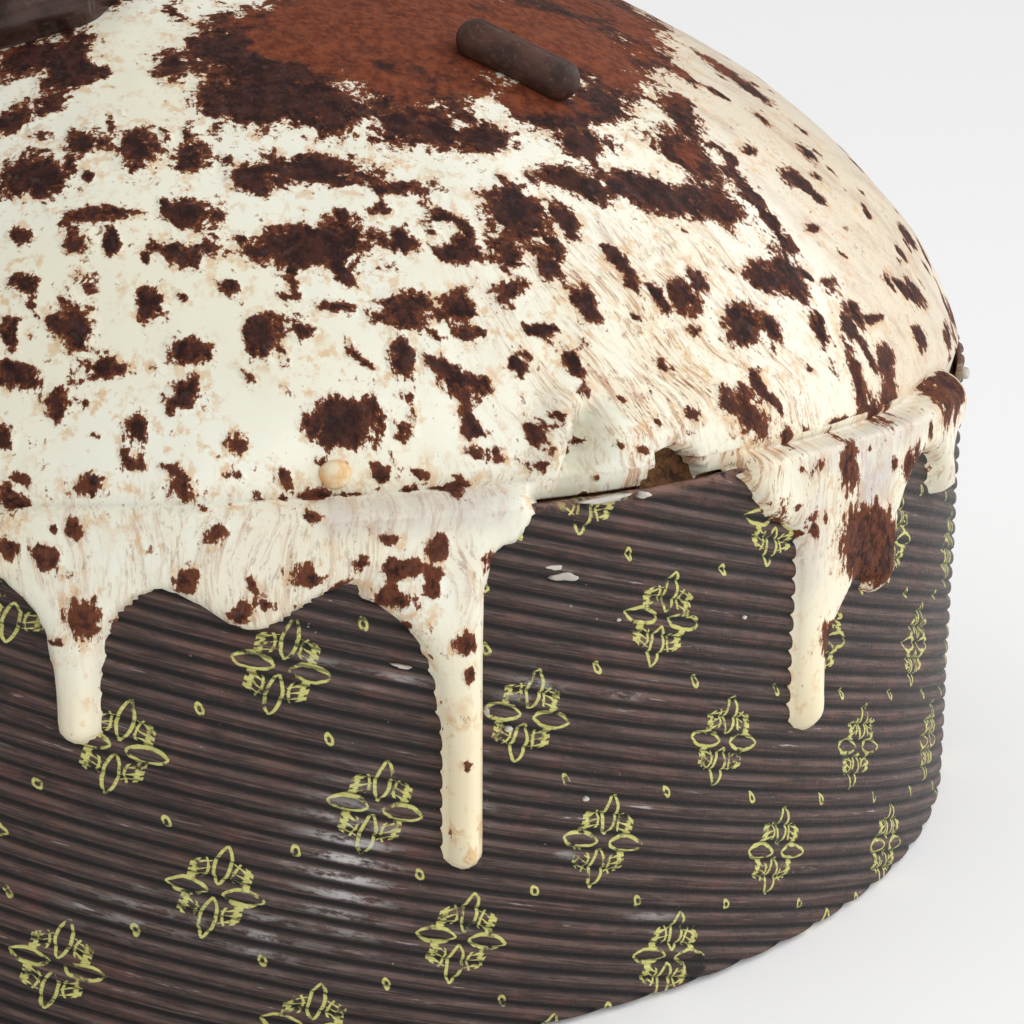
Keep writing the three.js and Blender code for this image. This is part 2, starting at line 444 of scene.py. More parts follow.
# Lines of the flowers and the rings between them, from the place on the unrolled wall in millimetres
def rosetteGroup():
    group = bpy.data.node_groups.new("rosettePrint", "ShaderNodeTree")
    group.interface.new_socket("Along", in_out="INPUT", socket_type="NodeSocketFloat")
    group.interface.new_socket("Up", in_out="INPUT", socket_type="NodeSocketFloat")
    group.interface.new_socket("Mask", in_out="OUTPUT", socket_type="NodeSocketFloat")
    w = Wires(group)
    along, up = (Value(w, socket) for socket in list(group.nodes.new("NodeGroupInput").outputs)[:2])
    leave = group.nodes.new("NodeGroupOutput")
    slope = math.radians(printValues["slope"])
    s0 = math.radians(printValues["startAngle"]) * panettone["caseRadius"]
    s = along - s0
    z = up - printValues["startHeight"]
    # u runs down the slope to the right, v runs down across it
    u = s * math.cos(slope) - z * math.sin(slope)
    v = s * math.sin(slope) + z * math.cos(slope)
    du, dv = printValues["across"], printValues["down"]

    def fold(value, period, offset):
        cell = w.math("ROUND", (value - offset) / period)
        return value - offset - cell * period

    ua, va = fold(u, 2 * du, 0), fold(v, 2 * dv, 0)
    ub, vb = fold(u, 2 * du, du), fold(v, 2 * dv, dv)
    away = abs(ua) / du + abs(va) / dv
    second = w.math("GREATER_THAN", away, 1)
    first = 1 - second
    x = ua * first + ub * second
    y = va * first + vb * second
    ax, ay = abs(x), abs(y)
    high, low = w.most(ax, ay), w.math("MINIMUM", ax, ay)
    line = printValues["line"]

    # 1 where the value lies within reach of zero
    def inside(value, reach):
        return w.ramp(abs(value), reach - 0.05, reach + 0.05, 1, 0)

    # four plain pointed leaves, drawn as loops
    t = (high - printValues["leafAt"]) / printValues["leafHalf"]
    body = 1 - t * t
    curve = w.math("POWER", w.most(body, 0), 0.72)
    loop = inside(low - curve * printValues["leafWidth"], line * 0.66) * w.math("GREATER_THAN", body, -0.1)
    # between them four toothed leaves, each a thick broken edge outside, three barbs and a thin curve inside
    gx, gy = ax - printValues["toothedAt"], ay - printValues["toothedAt"]
    pitch = printValues["barbPitch"]
    slanted = gy + gx * 0.35
    barb = slanted - w.math("ROUND", slanted / pitch) * pitch
    box = inside(gx, 1.15) * inside(slanted, 1.12)
    barbs = inside(barb / w.ramp(gx, -0.7, 0.8, 0.35, 1.5), line * 0.5)
    jagged = inside(gx - 0.78 + abs(barb), line * 0.95)
    hook = gx + 0.9 + gy * gy * -0.3
    toothed = box * w.most(barbs, w.most(jagged, inside(hook, line * 0.5)))
    # small rings between the flowers
    ur, vr = fold(u, du, du / 2), fold(v, dv, dv / 2)
    leaned = ur + vr * 0.45
    ring = leaned * leaned * 1.7 + vr * vr * 0.9
    ring = w.ramp(abs(w.math("SQRT", ring) - printValues["ringRadius"]), 0.13, 0.24, 1, 0)
    w.put(leave.inputs["Mask"], w.most(w.most(loop, toothed), ring))
    return group


def paperMaterial():
    material, w, shader = newMaterial("ribbedPaper")
    place = w.place()
    unrolled = w.split("ShaderNodeSeparateXYZ", w.add("ShaderNodeUVMap", uv_map="wall"))
    along = unrolled[0] * 100
    up = unrolled[1] * 100
    # the print wanders a little, as ink on creased paper does
    jitter = (w.noise(place, 650, 1) - 0.5) * 0.45
    inked = {"Along": along + jitter, "Up": up + jitter}
    printed = w.add("ShaderNodeGroup", inked, node_tree=rosetteGroup())
    # height in one rib, from the groove (0) through the crest and back
    slope = math.tan(math.radians(paperCase["ribSlope"]))
    pitch = slope * 2 * math.pi * panettone["caseRadius"] / paperCase["ribStarts"]
    across = up + along * slope
    rib = w.math("FRACT", across / pitch)
    crest = 1 - abs(rib * 2 - 1)
    ribPlace = w.add("ShaderNodeCombineXYZ", {0: along, 1: across})
    fibre = w.noise(w.scaled(ribPlace, (0.22, 5, 1)), 1, 3, 0.72)
    red = w.noise(place, 120, 4, 0.7)
    grainLines = w.noise(w.scaled(ribPlace, (0.09, 3.6, 1)), 1, 3, 0.75)
    longWave = w.noise(w.scaled(ribPlace, (0.1, 0.6, 1)), 1, 4, 0.7)
    # lit is a painted highlight band along the upper side of each rib; the scuffs keep to the same band
    lit = w.ramp(abs(rib - 0.58), 0.05, 0.3, 1, 0)
    scuffs = w.ramp(w.noise(w.scaled(ribPlace, (0.14, 1.7, 1)), 1, 3, 0.72), 0.62, 0.7) * lit
    midLine = w.ramp(abs(rib - 0.44), 0.03, 0.11, 1, 0)
    colour = w.layers(w.mix(w.ramp(red, 0.56, 0.36), srgb(0.148, 0.1, 0.09), srgb(0.225, 0.162, 0.145)), [
        (w.ramp(red, 0.47, 0.68, 0, 0.8), (0.37, 0.215, 0.18)),
        (w.ramp(fibre, 0.42, 0.72, 0, 0.5), (0.42, 0.35, 0.325)),
        (w.ramp(grainLines, 0.47, 0.6) * 0.55, (0.1, 0.07, 0.062)),
        (w.ramp(grainLines, 0.46, 0.36) * 0.5, (0.44, 0.355, 0.33)),
        # painted highlight along the upper side of each rib, broken by the long wave
        (lit * w.ramp(longWave, 0.36, 0.6) * 0.36, (0.52, 0.42, 0.38)),
        (scuffs * w.ramp(w.noise(place, 40, 2), 0.4, 0.6, 0.15, 0.75), (0.7, 0.67, 0.66)),
        (midLine * w.ramp(longWave, 0.4, 0.52) * 0.6, (0.095, 0.07, 0.063)),
        # painted shade darkening the grooves between the ribs
        (w.ramp(crest, 0.1, 0.52, 0.95, 0), (0.046, 0.035, 0.032)),
    ])
    worn = w.ramp(w.noise(place, 700, 3, 0.6), 0.34, 0.5)
    # the print fades to about a third in the grooves, so the painted groove shade shows through it
    ink = printed * (worn * w.ramp(crest, 0.05, 0.2, 0.35, 1))
    gold = w.mix(w.ramp(fibre, 0.3, 0.7), srgb(0.68, 0.66, 0.34), srgb(0.85, 0.84, 0.53))
    smears, holeShadeMask, rimEdge, _ = w.paint("wearAndHoleShade")
    brushed = w.ramp(w.noise(w.scaled(ribPlace, (0.3, 0.9, 1)), 1, 4, 0.7), 0.42, 0.58)
    flecks = w.ramp(w.noise(place, 1300, 3, 0.6), 0.7, 0.76)
    flecks = flecks * w.ramp(w.noise(place, 75, 2), 0.5, 0.62)
    colour = w.layers(w.mix(ink, colour, gold), [
        (w.ramp(crest, 0.35, 0.8) * brushed * smears * 0.85, (0.8, 0.79, 0.78)),
        (flecks * 0.7, (0.74, 0.7, 0.66)),
        # painted shade: near-black brown where the rods went through the paper
        (w.ramp(holeShadeMask + (w.noise(place, 900, 2) - 0.5) * 0.9, 0.45, 0.6), (0.085, 0.045, 0.03)),
        (rimEdge * w.ramp(worn, 0, 1) * 0.8, (0.5, 0.36, 0.3)),
    ])
    normal = w.bump(w.noise(place, 1600, 1, 0.7), 0.25, 0.0004)
    rough = w.ramp(fibre, 0.2, 0.8, 0.48, 0.66)
    w.dress(shader, {"Base Color": colour, "Roughness": rough, "Specular IOR Level": 0.35, "Normal": normal})
    return material


buildPaperCase(paperMaterial())
print("paper case ready")

# Icing: where it hangs over the rim
lobes = [
    {"at": 3, "halfWidth": 9, "drop": 3.6},
    {"at": 1.2, "halfWidth": 3.2, "drop": 4},
    {"at": -9, "halfWidth": 4.5, "drop": 1.5},
    {"at": 39, "halfWidth": 4.5, "drop": 5},
    {"at": 47, "halfWidth": 3.6, "drop": 11},
    {"at": 57.5, "halfWidth": 3, "drop": 3},
]
# side flares: reach in mm, depth it starts from, depth it dies over, power
drips = [
    {"at": -8.6, "drop": 23, "radius": 2.25, "left": (4.4, 5.5, 3.2, 1), "right": (6.5, 6, 2.8, 1)},
    {"at": 13.4, "drop": 39.8, "radius": 2.15, "left": (8.9, 8.3, 4.4, 1), "right": (7.8, -0.8, 3, 1)},
    {"at": 39.8, "drop": 33.7, "radius": 2.8, "left": (10.5, -0.3, 5.5, 2), "right": (6.5, 15, 5, 2)},
    {"at": 47.4, "drop": 20, "radius": 2.9, "left": (5, 12, 6, 2), "right": (5, 3, 5, 1)},
    {"at": 57.9, "drop": 12, "radius": 1.8, "left": (4, 2.5, 2.5, 1), "right": (4, 2.5, 2.5, 1)},
]
bareRims = [{"at": 25.6, "halfWidth": 7.2}, {"at": 76, "halfWidth": 13}]
seed = 41


def draw():
    global seed
    seed = (seed * 16807) % 2147483647
    return seed / 2147483647


turn = 98
while turn < 338:
    lobes.append({"at": turn, "halfWidth": 3.5 + 2 * draw(), "drop": 4 + 6 * draw()})
    kind = draw()
    if kind > 0.45:
        drip = {"at": turn + 2 * draw(), "drop": 14 + 24 * draw(), "radius": 2 + 0.5 * draw()}
        drips.append({**drip, "left": (5.5, 5, 3.2, 1), "right": (4.5, 5, 3, 1)})
    elif kind < 0.2:
        bareRims.append({"at": turn + 8, "halfWidth": 3.5})
    turn += 13 + 6 * draw()


def dropAt(angle):
    total = np.full(np.shape(angle), 3.6)
    for lobe in lobes:
        total = total + lobe["drop"] * np.exp(-(wrap(angle - lobe["at"]) / lobe["halfWidth"]) ** 2)
    bare = bareAt(angle)
    return total * (1 - bare) - 0.9 * bare


def bareAt(angle):
    bare = np.zeros(np.shape(angle))
    for place in bareRims:
        within = place["halfWidth"] + 2.2 - np.abs(wrap(angle - place["at"]))
        bare = np.maximum(bare, smoothStep(0, 2.6, within))
    return bare


def softMax(a, b, k):
    h = np.clip(0.5 + 0.5 * (a - b) / k, 0, 1)
    return b + (a - b) * h + k * h * (1 - h)


# Millimetres inside the edge of the overhang, negative outside it, and the swelling of the drips' ends
def skirtReach(angle, depth):
    slope = (dropAt(angle + 0.4) - dropAt(angle - 0.4)) / (0.8 * arcPerDegree)
    reach = (dropAt(angle) - depth) / np.sqrt(1 + slope ** 2)
    bulb = np.zeros(np.shape(angle))
    for drip in drips:
        s = wrap(angle - drip["at"]) * arcPerDegree
        near = np.abs(s) < 20
        if not near.any():
            continue
        flare = np.zeros(np.shape(angle))
        for side, sign in (("left", -1), ("right", 1)):
            spread, start, run, power = drip[side]
            over = np.maximum(depth - start, 0) / run
            flare = np.where(s * sign > 0, spread * np.exp(-over ** power), flare)
        width = drip["radius"] + flare
        lean = 1 / np.sqrt(1 + (flare / 4) ** 2)
        end = drip["drop"] - drip["radius"]
        run = (width - np.abs(s)) * lean
        tip = drip["radius"] - np.hypot(s, depth - end)
        own = np.where(depth > end, tip, np.minimum(run, 9))
        own = np.where(near & (depth > -1.5), own, -20)
        reach = softMax(reach, own, 1.1)
        bulb = bulb + 0.55 * np.exp(-(s / 2.4) ** 2 - ((depth - end) / 3) ** 2)
    return reach, bulb


icingValues = {
    "columns": 900,
    "domeRows": 73,
    "shoulderRows": 15,
    "rowStep": 0.6,           # mesh rows of the overhang
    "deepest": 45,
    "thickness": 2.4,
    "edgeRound": 2.6,
    "creaseHeight": 2.5,      # where the dome meets the overhang
    "window": (28.1, 2.2, 3.9),   # gap that shows the crumb: angle, half width in degrees, height
    "windowDepth": 4,
    "rightGroup": (44, 12),       # middle and half width of the group of drips at the right
    "backInset": 0.75,            # how far the back of the overhang lies inside the paper's face
}


def cakeWindow(angle, rise):
    at, half, height = icingValues["window"]
    across = np.clip(np.abs(wrap(angle - at)) / half, 0, 1.5)
    return smoothStep(-0.35, 0.35, height * (1 - across ** 2) - rise)


# Angle of the fold left of the long bare rim, at each climb in degrees
def foldLine(degrees):
    return 19.4 + 0.2 * np.maximum(degrees - 4, 0) + 0.05 * np.maximum(degrees - 10, 0) ** 1.5


# Waves and folds that the icing set in, as a move along the normal
def domeRelief(angle, climb, points):
    degrees = climb * 90
    soft = 0.45 * field(points, 26, 1, 2) + 0.16 * field(points, 8, 2, 2)
    runs = np.stack([angle * 0.8, degrees * 0.06, 0 * angle], -1)
    strength = plateau(angle, 30, 13) * smoothStep(42, 25, degrees)
    soft = soft + (0.04 + 0.1 * strength) * field(runs, 2.6, 5, 1) * smoothStep(60, 40, degrees)
    # the fold: a torn lip over a hollow that narrows upwards
    line = foldLine(degrees)
    wide = np.clip(5.6 * (15.5 - degrees) / 10.5, 0.5, 6)
    side = angle - line
    hollow = smoothStep(-0.5, 0.6, side) * smoothStep(1, 0.15, side / wide) * smoothStep(16.5, 13.5, degrees)
    lip = np.exp(-(side + 0.9) ** 2) * smoothStep(18, 13, degrees) * smoothStep(1, 5, degrees)
    return np.maximum(soft * (1 - hollow) + 2.2 * lip - 2.3 * hollow, -2.3) * smoothStep(90, 80, degrees)


# Where the icing slid down over the rim in one sheet the flank stands out above it
def flankSwell(angle, degrees):
    share = smoothStep(6, -3, angle) * smoothStep(-60, -40, angle) + 0.6 * smoothStep(90, 120, np.abs(angle))
    return 2 * share * (1 - bareAt(angle)) * smoothStep(19, 7, degrees)


# Thickness of the overhang, rounded off towards its edge
def roundedEdge(thickness, reach):
    return thickness * (1 - (1 - np.clip(reach / icingValues["edgeRound"], 0, 1)) ** 2) ** 0.5


# Rows over the dome, from the crease up, with fewer points on the smaller rings
def domeRings():
    columns, crease = icingValues["columns"], icingValues["creaseHeight"]
    lift = (crease / panettone["domeHeight"]) ** (1 / panettone["domePower"])
    startTurn = math.degrees(math.asin(lift)) / 90
    climbs = np.linspace(startTurn, 1, icingValues["domeRows"] + 1)[:-1]
    rows = []
    for climb in climbs:
        reach = domePoint(0, climb)[0]
        count = columns
        if climb > startTurn:
            count = columns // (2 if reach > 60 else 4 if reach > 30 else 12)
        angle = 360 * np.arange(count) / count
        turned = wrap(angle)
        ring, z = domePoint(angle, climb)
        a = np.radians(angle)
        points = ringPoints(ring, a, z)
        tilt = climb * math.pi / 2
        normal = ringPoints(np.cos(tilt), a, np.full(count, math.sin(tilt) * 1.3))
        normal /= np.linalg.norm(normal, axis=1)[:, None]
        move = domeRelief(turned, np.full(count, climb), points)
        move = move * smoothStep(startTurn - 0.01, startTurn + 0.03, climb)
        move = move + flankSwell(turned, np.full(count, climb * 90))
        move = move - icingValues["windowDepth"] * cakeWindow(turned, z - panettone["caseHeight"])
        if climb == startTurn:      # dark crease over the overhang
            cover = smoothStep(-0.4, 1.2, skirtReach(turned, np.full(count, 0.4))[0])
            move = move - 0.7 * cover * (1 - plateau(turned, *icingValues["rightGroup"]))
        rows.append((points + normal * move[:, None], angle, np.full(count, climb * 90)))
    return rows


# Rows of the shoulder and of the overhang, and which points of the overhang are icing
def lowRings(baseRing):
    columns, crease = icingValues["columns"], icingValues["creaseHeight"]
    rim, radius = panettone["caseHeight"], panettone["caseRadius"]
    angle = 360 * np.arange(columns) / columns
    turned, a, wave = wrap(angle), np.radians(angle), rimWave(angle)
    window = cakeWindow(turned, 0 * angle)
    # the group at the right runs thinner, and its shoulder lies lower, at the rim
    thickness = icingValues["thickness"] * (1 - 0.38 * plateau(turned, 41, 9))
    sag = 0.55 * plateau(turned, *icingValues["rightGroup"])
    cover = smoothStep(-0.4, 1.2, skirtReach(angle, np.full(columns, 0.4))[0])
    rows, icy = [], []

    def addRow(ring, z, depth):
        rows.append((ringPoints(ring, a, z), angle, np.full(columns, -depth)))

    reach = skirtReach(angle, np.full(columns, 0.8))[0]
    target = (1 - cover) * (radius - 1.8) + cover * (radius + roundedEdge(thickness, reach))
    for depth in np.linspace(-crease, 0, icingValues["shoulderRows"])[1:-1]:
        t = (depth + crease) / crease
        late = np.clip((t - sag) / (1 - sag), 0, 1)
        shape = cover * np.sqrt(1 - (1 - late) ** 2) ** 1.25 + (1 - cover) * t
        ring = baseRing + (target - baseRing) * shape - 0.8 * sag * cover * np.exp(-((t - sag) / 0.2) ** 2)
        addRow(ring - icingValues["windowDepth"] * cakeWindow(turned, -depth), rim + wave * t - depth, depth)
    for depth in np.arange(0, icingValues["deepest"], icingValues["rowStep"]):
        reach, bulb = skirtReach(angle, np.full(columns, depth))
        thick = roundedEdge(thickness, reach)
        wobble = 0.22 * field(ringPoints(radius, a, np.full(columns, rim - depth)), 5.0, 6, 2)
        proud = thick + (bulb + wobble) * smoothStep(0.3, 2.2, reach)
        ring = radius + np.where(reach > 0, proud, np.maximum(reach * 5, -1.15))
        z = rim + wave * smoothStep(20, 0, depth) - depth
        if depth == 0:
            ring = (1 - cover) * (radius - 1.8) + cover * ring - icingValues["windowDepth"] * window
            z = z - 2 * window
        addRow(ring, z, depth)
        icy.append(reach > -0.25)
    return rows, np.array(icy)


# Faces between two rows, the lower one with as many points or a few times as many
def stripFaces(top, countTop, low, countLow):
    faces = []
    ratio = countLow // countTop
    middle = ratio // 2
    for k in range(countTop):
        here, after = top + k, top + (k + 1) % countTop
        below = [low + (k * ratio + m) % countLow for m in range(ratio + 1)]
        if ratio == 1:
            faces.append((here, below[0], below[1], after))
            continue
        faces += [(here, below[m], below[m + 1]) for m in range(middle)]
        faces.append((here, below[middle], after))
        faces += [(after, below[m], below[m + 1]) for m in range(middle, ratio)]
    return faces


def buildIcing(material):
    columns, radius, rim = icingValues["columns"], panettone["caseRadius"], panettone["caseHeight"]
    upper = domeRings()
    lower, icy = lowRings(np.hypot(upper[0][0][:, 0], upper[0][0][:, 1]))
    rows = upper[::-1] + lower
    rows.append((np.array([[0, 0, rim + panettone["domeHeight"]]]), np.array([0]), np.array([90])))
    points, angles, levels = (np.concatenate(part) for part in zip(*rows))
    counts = [len(row[1]) for row in rows]
    offsets = np.concatenate([[0], np.cumsum(counts)]).tolist()
    total, crown = len(points), len(points) - 1
    rimIndex = len(rows) - 1 - len(icy)      # the row of the overhang that lies at the rim

    faces = [(crown, k, (k + 1) % counts[0]) for k in range(counts[0])]
    for r in range(rimIndex):
        faces += stripFaces(offsets[r], counts[r], offsets[r + 1], counts[r + 1])
    skirt = []
    edges = {}      # sides of the overhang's faces that no other face shares
    for r in range(len(icy) - 1):
        top, low = offsets[rimIndex + r], offsets[rimIndex + r + 1]
        kept = icy[r] | icy[r + 1]
        for k in range(columns):
            n = (k + 1) % columns
            if kept[k] or kept[n]:
                quad = (top + k, low + k, low + n, top + n)
                skirt.append(quad)
                for m in range(4):
                    edge = (quad[m], quad[(m + 1) % 4])
                    if edge[::-1] in edges:
                        del edges[edge[::-1]]
                    else:
                        edges[edge] = True

    # the back of the overhang lies inside the paper, and a plain inner dome closes the shell
    innerOf, extra = {}, []

    def inner(index):
        if index not in innerOf:
            p = points[index]
            flat = math.hypot(p[0], p[1])
            inset = icingValues["backInset"] if flat > radius - 1.7 else 2.6
            scale = (radius - inset) / flat
            extra.append((p[0] * scale, p[1] * scale, p[2]))
            innerOf[index] = total + len(extra) - 1
        return innerOf[index]

    rimRow = offsets[rimIndex]
    back = [tuple(inner(i) for i in reversed(quad)) for quad in skirt]
    covered = set()
    for start, end in edges:
        if max(start, end) < rimRow + columns:
            covered.add(frozenset((start, end)))
        else:
            back.append((end, start, inner(start), inner(end)))
    for k in range(columns):
        here, after = rimRow + k, rimRow + (k + 1) % columns
        if frozenset((here, after)) not in covered:
            back.append((after, here, inner(here), inner(after)))
    ceiling = [inner(rimRow + k) for k in range(columns)]
    extra.append((0, 0, rim + 2))
    peak = total + len(extra) - 1
    back += [(peak, ceiling[(k + 1) % columns], ceiling[k]) for k in range(columns)]
    extra = np.array(extra)
    allPoints = np.concatenate([points, extra])
    piece = makePiece("icingCoat", allPoints, faces + skirt + back, material)
    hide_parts("icing")
    angles = np.concatenate([angles, np.degrees(np.arctan2(extra[:, 0], -extra[:, 1]))])
    paintCocoa(piece, wrap(angles), np.concatenate([levels, np.full(len(extra), -30.0)]))


# Cocoa: soft fields that the material breaks into ragged patches
# angle and climb in degrees (below the rim: minus millimetres), half sizes in the same, turn, strength
cocoaPatches = [
    (6, 53.5, 7.5, 5, 0, 1.3), (17, 56, 9, 6.5, 0, 1.5), (20, 50, 7, 4.2, 0, 1.2), (30, 56, 12, 6, 0, 1.5),
    (3, 47.5, 5, 3.4, 0, 1), (8.5, 47, 5.5, 3.2, -15, 1), (17.5, 44, 4, 3.2, 0, 0.95),
    (23, 42, 3.5, 1.6, 10, 0.9), (31, 45, 5, 3.2, -20, 1), (37, 45, 5, 2.4, 10, 1),
    (44, 48, 6, 2.2, 15, 0.95), (44, 54, 10, 6, 0, 1.3), (32, 40.5, 3.4, 1.5, 0, 0.9),
    (29, 36.5, 4, 1.6, -25, 0.9), (35, 35, 5, 2.2, -25, 1), (41, 33, 3.2, 2.6, 0, 0.95),
    (43, 38.5, 3.4, 3.6, 20, 0.95), (46.5, 42, 2, 4, -20, 0.85), (54, 51, 9, 3, 8, 0.8),
    (60, 57, 14, 5, 0, 1.1), (7.5, 39.8, 5, 1.7, -4, 0.95), (13.5, 37.8, 3, 1.1, -20, 0.85),
    (6.5, 32.2, 5, 2.3, 4, 1), (22, 34, 2.7, 3.2, -15, 0.95), (-6, 41.5, 2.2, 2.3, 0, 0.9),
    (-1.9, 40.8, 1.8, 1.5, 0, 0.85), (2.3, 39.3, 1.8, 1.9, 30, 0.9), (-2, 35.3, 2.2, 1.7, 0, 0.9),
    (-15, 52, 2.2, 4.5, 0, 1), (-13, 50.4, 2.6, 1.8, 0, 0.9), (-4.2, 51, 1.8, 2.2, 0, 0.85),
    (-15.5, 46.5, 2.6, 1.3, 0, 0.85), (-14, 38.8, 3.2, 2.2, -20, 0.9), (-8, 35, 2.8, 1, 10, 0.8),
    (-3, 31.3, 2.2, 1.3, -30, 0.85), (-9, 24.2, 1.4, 2.6, 0, 0.85), (11.8, 25.4, 2.1, 2.1, 0, 0.95),
    (15.3, 25.2, 1.5, 2, -20, 0.85), (4.8, 23.8, 1.1, 1.3, 0, 0.85), (16.8, 30.6, 1.3, 1.5, 0, 0.85),
    (7, 14, 2.4, 3, -10, 1), (-2, 21.8, 1.6, 1.5, 0, 0.85), (-7, 20, 1.6, 1.2, 0, 0.85),
    (-12.2, 19.4, 1.4, 1.6, 0, 0.9), (-2.4, 17.2, 1, 2.2, -15, 0.85), (13.8, 18.4, 1, 2.4, 15, 0.85),
    (32.6, 23.8, 1.8, 2.2, 0, 0.85), (34.8, 25.4, 1.2, 1.6, 0, 0.8), (36.8, 20, 1.9, 2.8, -20, 0.9),
    (39.3, 19, 1.1, 2.2, 0, 0.8), (41.5, 24.6, 2.2, 2.2, -30, 0.9), (44.2, 24, 1.4, 3.8, 0, 0.95),
    (46.5, 29, 1.2, 4.5, 0, 0.8), (46.4, 10, 0.8, 7, 0, 0.85), (34.6, 9, 1.5, 4.5, 10, 0.8),
    (46.8, 35, 1.5, 3, 0, 0.75), (45.5, -13.2, 2.9, 5, 25, 1.5), (41.7, -23.6, 1.35, 3, 20, 1.25),
    (42.3, -2.4, 1.2, 3.6, 0, 0.95), (47.8, 3.5, 1.6, 3, 0, 0.9), (36, -7.5, 1, 4.5, 12, 0.75),
    (-9.7, -2, 0.9, 1.6, 0, 1), (-7.8, -8.6, 0.9, 2.6, 0, 1), (0.7, -8.6, 0.5, 1.7, -10, 1),
    (-2.2, -5.2, 0.8, 1.6, -15, 1), (4.3, -5.6, 1.1, 0.8, 15, 0.95), (9.6, -5, 1.4, 1.3, 10, 1.05),
    (11.6, -3.2, 0.8, 1.6, 0, 1), (11.3, -7.4, 0.6, 1.2, 0, 0.95), (13.2, -13.6, 0.7, 1.3, 0, 1),
    (13.4, -17, 0.5, 1, 0, 0.9), (13.3, -27.2, 0.35, 0.6, 0, 0.95), (14.7, -4.8, 0.5, 0.9, 0, 0.95),
    (8.4, -8.2, 0.9, 1.8, -25, 0.85), (-11.6, -1, 0.8, 1.2, 0, 0.9), (50.5, -4.5, 1.6, 2.6, 0, 0.9),
    (7.2, 4.8, 1.2, 0.5, 0, 0.85), (10.6, 4.5, 1, 0.4, 0, 1), (12.7, 4.8, 1.1, 0.6, 0, 1),
    (14.8, 4.4, 0.9, 0.4, 0, 1), (43, 4.8, 1.6, 0.7, 0, 1), (46.6, 5, 1.8, 0.7, 0, 1),
    (49.5, 5.2, 1.2, 0.6, 0, 1), (16, 9, 0.9, 1.3, 0, 0.8), (49.3, 4.5, 2, 4, -15, 0.85),
    (-2.3, 7, 0.9, 2.6, 0, 0.8), (-7.6, 7.4, 0.9, 1.6, 0, 0.8),
]

# the same without turn, all about as strong
smallPatches = [
    (-10.8, 42.3, 1.2, 1.4), (-9.7, 38.5, 0.6, 0.5), (-17.5, 44.8, 1.2, 1.6), (-14.5, 43.3, 0.8, 0.5),
    (-9.5, 32.2, 1.1, 0.9), (-7.2, 31.8, 0.7, 1), (-13.7, 32.8, 0.9, 0.8), (-12.8, 28.2, 1, 1),
    (-4.5, 26.3, 0.7, 1.5), (-13.2, 24.2, 0.6, 1.2), (0.6, 28, 0.7, 0.9), (2.4, 23.5, 0.9, 2),
    (7.5, 26, 1.2, 0.7), (4.2, 27.5, 0.6, 0.5), (12.8, 32, 1.3, 1), (16.3, 34.3, 1.2, 0.7),
    (12, 35, 0.8, 0.5), (20, 30, 1.2, 1.3), (22.8, 28, 0.9, 1.6), (24.5, 24.5, 0.8, 2.2),
    (21, 22.2, 0.6, 1), (11, 20.5, 0.8, 2), (18.4, 19, 0.6, 1.2), (15.7, 17.5, 0.7, 1.4),
    (22.2, 18.5, 0.6, 1.6), (19.2, 26.5, 1.4, 0.8), (-9.6, 16.5, 0.7, 1.8), (-5, 13.8, 0.6, 1.6),
    (0.6, 12, 0.6, 1.2), (10.5, 12.7, 0.7, 1.2), (14.5, 12.2, 0.5, 1.3), (18.6, 11.5, 0.6, 1.6),
    (-12.5, 13.5, 0.7, 0.9), (3.2, 8, 0.5, 1.2), (8.8, 7.6, 0.5, 1.2), (-11.7, 4.5, 1, 2.2),
    (5, 4.8, 0.9, 1.6), (10.5, 4.6, 0.5, 0.9), (13.8, 5.5, 0.5, 0.9), (28.3, 29, 0.8, 1),
    (25.8, 33, 0.9, 2), (24, 30.5, 0.7, 1.2), (30.4, 24, 0.6, 1.5), (28.8, 26.5, 0.6, 1.4),
    (44, 17, 0.6, 2.5), (41.5, 13.5, 0.4, 0.6), (44.3, 12.6, 0.4, 1.5), (49.8, 18.5, 1.2, 0.8),
    (48, 16.5, 1, 1.6), (52, 16.5, 1.4, 0.6), (51.5, 28.5, 1.4, 0.5), (46, 33.5, 1.4, 0.6),
    (51.8, 37.8, 1.2, 0.7), (45.5, 41, 1, 1.4), (47.9, 38, 0.8, 1.4), (37.5, 4, 0.6, 2.4),
    (32.8, 12, 0.7, 2), (36, 13, 0.7, 2.2),
]


